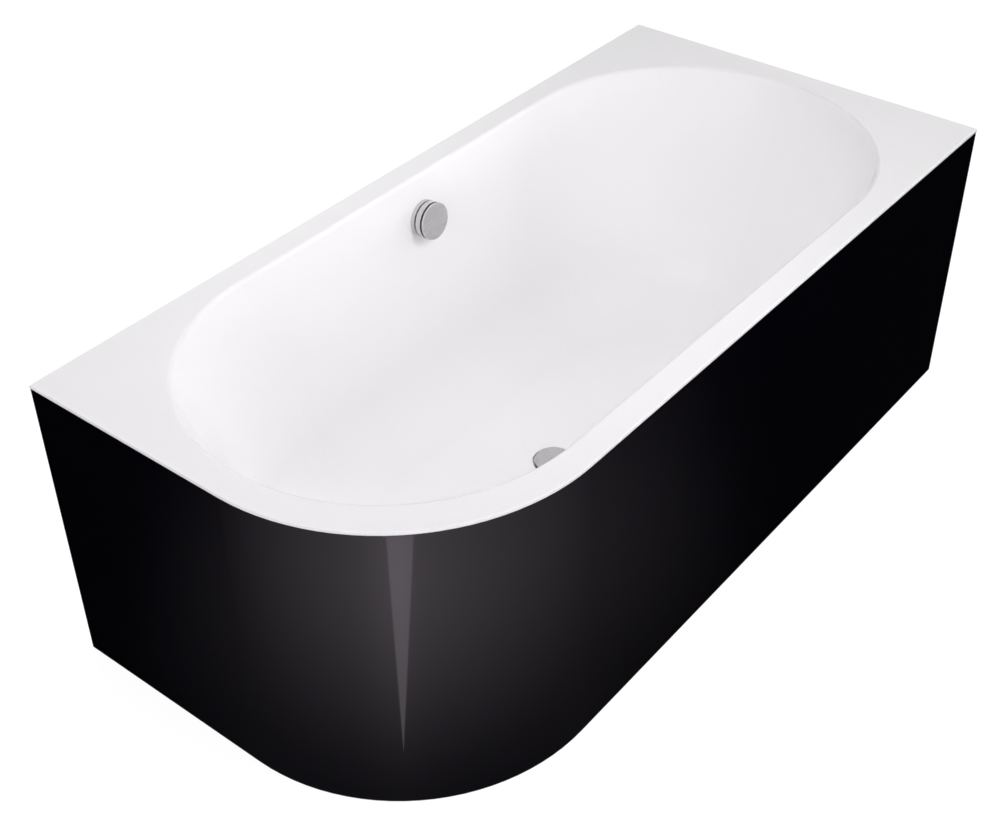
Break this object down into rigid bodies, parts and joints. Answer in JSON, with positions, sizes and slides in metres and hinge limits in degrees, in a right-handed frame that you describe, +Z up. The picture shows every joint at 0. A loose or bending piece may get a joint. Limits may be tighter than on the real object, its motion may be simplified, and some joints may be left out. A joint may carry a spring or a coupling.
{
  "type": "bathtub",
  "caption": "Back-to-wall bathtub with one rounded free corner, flat white rim, long round-ended basin, black wrap-around apron, turning overflow knob and lifting plug.",
  "frame": {"origin": "on the ground under the middle of the tub", "axes": "+X along the tub to the far end wall, +Y to the back wall, +Z up; the rounded corner is at -X, -Y"},
  "size_m": [1.7, 0.815, 0.598],
  "materials": {
    "acrylic_white": "gloss, moulded",
    "acrylic_black": "gloss, moulded",
    "timber": "sawn softwood",
    "chipboard": "pressed board",
    "steel": "zinc plated",
    "fasteners": "zinc plated",
    "foot_plastic": "moulded",
    "chrome": "satin chrome",
    "rubber": "moulded",
    "brass": "turned",
    "fitting_white": "moulded",
    "fitting_dark": "moulded",
    "hose_grey": "ribbed",
    "cable_black": "extruded",
    "cable_steel": "drawn wire"
  },
  "bodies": {
    "tub": {"tub_shell": "acrylic_white", "apron_panel": "acrylic_black", "batten_back": "timber", "batten_far_end": "timber", "batten_front": "timber", "batten_near_end": "timber", "batten_corner": "timber", "panel_block_front_near": "timber", "panel_block_front_far": "timber", "panel_block_near_end": "timber", "base_board": "chipboard", "cross_rail_near": "steel", "cross_rail_far": "steel", "stay_front_near": "steel", "stay_front_far": "steel", "stay_near_end": "steel", "wall_bracket_back_near": "steel", "wall_bracket_back_far": "steel", "wall_bracket_end_front": "steel", "wall_bracket_end_back": "steel", "rail_screws": "fasteners", "weld_nuts": "fasteners", "lock_nuts": "fasteners", "stay_bolts": "fasteners", "stay_nuts": "fasteners", "stay_screws": "fasteners", "bracket_screws": "fasteners", "waste_flange": "chrome", "overflow_base_ring": "chrome", "overflow_inlet_ring": "chrome", "waste_flange_seal": "rubber", "waste_body_seal": "rubber", "overflow_seal": "rubber", "lever_pin": "brass", "waste_body": "fitting_white", "trap_bowl": "fitting_white", "trap_cap": "fitting_white", "outlet_pipe": "fitting_white", "overflow_body": "fitting_dark", "trap_nuts": "fitting_dark", "hose_nuts": "fitting_dark", "overflow_hose": "hose_grey", "cable_sheath": "cable_black", "cable_wire": "cable_steel"},
    "knob": {"knob_cap": "chrome", "knob_spindle": "brass", "cable_drum": "fitting_white"},
    "plug": {"plug_cap": "chrome", "plug_seal": "rubber", "plug_stem": "brass"},
    "lifter": {"lift_lever": "fitting_white"},
    "foot_1": {"foot_pad_1": "foot_plastic", "foot_stem_1": "fasteners"},
    "foot_2": {"foot_pad_2": "foot_plastic", "foot_stem_2": "fasteners"},
    "foot_3": {"foot_pad_3": "foot_plastic", "foot_stem_3": "fasteners"},
    "foot_4": {"foot_pad_4": "foot_plastic", "foot_stem_4": "fasteners"}
  },
  "joints": [
    {"name": "knob_turn", "type": "hinge", "parent": "tub", "child": "knob", "pos_m": [0.031, 0.34654, 0.507], "axis": [0, -0.9962, 0.0872], "range_deg": [0, 120]},
    {"name": "plug_lift", "type": "slide", "parent": "tub", "child": "plug", "axis": [0, 0, 1], "range_m": [0, 0.01]},
    {"name": "lever_turn", "type": "hinge", "parent": "tub", "child": "lifter", "pos_m": [0.018, 0, 0.042], "axis": [0, 1, 0], "range_deg": [0, 32.5]},
    {"name": "foot_1_screw", "type": "slide", "parent": "tub", "child": "foot_1", "axis": [0, 0, -1], "range_m": [-0.006, 0.015]},
    {"name": "foot_2_screw", "type": "slide", "parent": "tub", "child": "foot_2", "axis": [0, 0, -1], "range_m": [-0.006, 0.015]},
    {"name": "foot_3_screw", "type": "slide", "parent": "tub", "child": "foot_3", "axis": [0, 0, -1], "range_m": [-0.006, 0.015]},
    {"name": "foot_4_screw", "type": "slide", "parent": "tub", "child": "foot_4", "axis": [0, 0, -1], "range_m": [-0.006, 0.015]}
  ],
  "couplings": [
    {"joint": "knob_turn", "follows": "plug_lift", "rad_per_m": 209.44},
    {"joint": "lever_turn", "follows": "plug_lift", "rad_per_m": 56.296}
  ]
}
